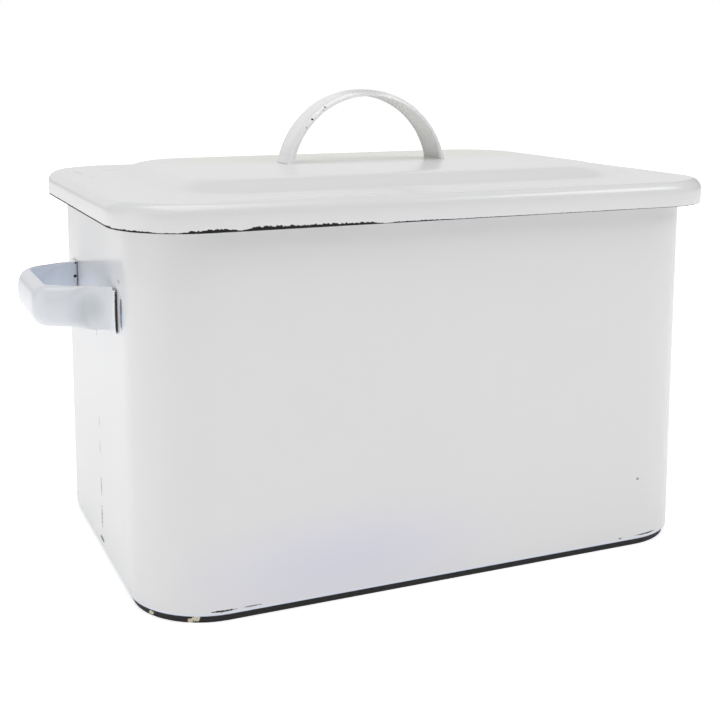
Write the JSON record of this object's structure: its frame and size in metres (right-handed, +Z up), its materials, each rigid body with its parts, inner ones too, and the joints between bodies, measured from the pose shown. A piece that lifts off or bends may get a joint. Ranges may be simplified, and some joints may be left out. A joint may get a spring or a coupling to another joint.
{
  "type": "enamel bread bin",
  "caption": "Rounded rectangular enamelled steel bread bin with a lift-off lid, an arched lid handle and a welded handle on each end.",
  "frame": {"origin": "middle of the foot rim's underside, on the surface that the bin stands on", "axes": "+X along the long side from the left handle to the right handle, the front faces -Y, +Z up"},
  "size_m": [0.3942, 0.2384, 0.2552],
  "materials": {
    "white_enamel": "glossy white vitreous enamel, worn to the black ground coat at its edges",
    "black_enamel": "satin blue-black ground-coat enamel"
  },
  "bodies": {
    "bin": {"body_shell": "white_enamel", "base_pan": "black_enamel", "left_handle": "white_enamel", "right_handle": "white_enamel"},
    "lid": {"lid_shell": "white_enamel", "lid_handle": "white_enamel"}
  },
  "joints": [
    {"name": "lid_lift", "type": "slide", "parent": "bin", "child": "lid", "axis": [0, 0, 1], "range_m": [0, 0.12]}
  ]
}
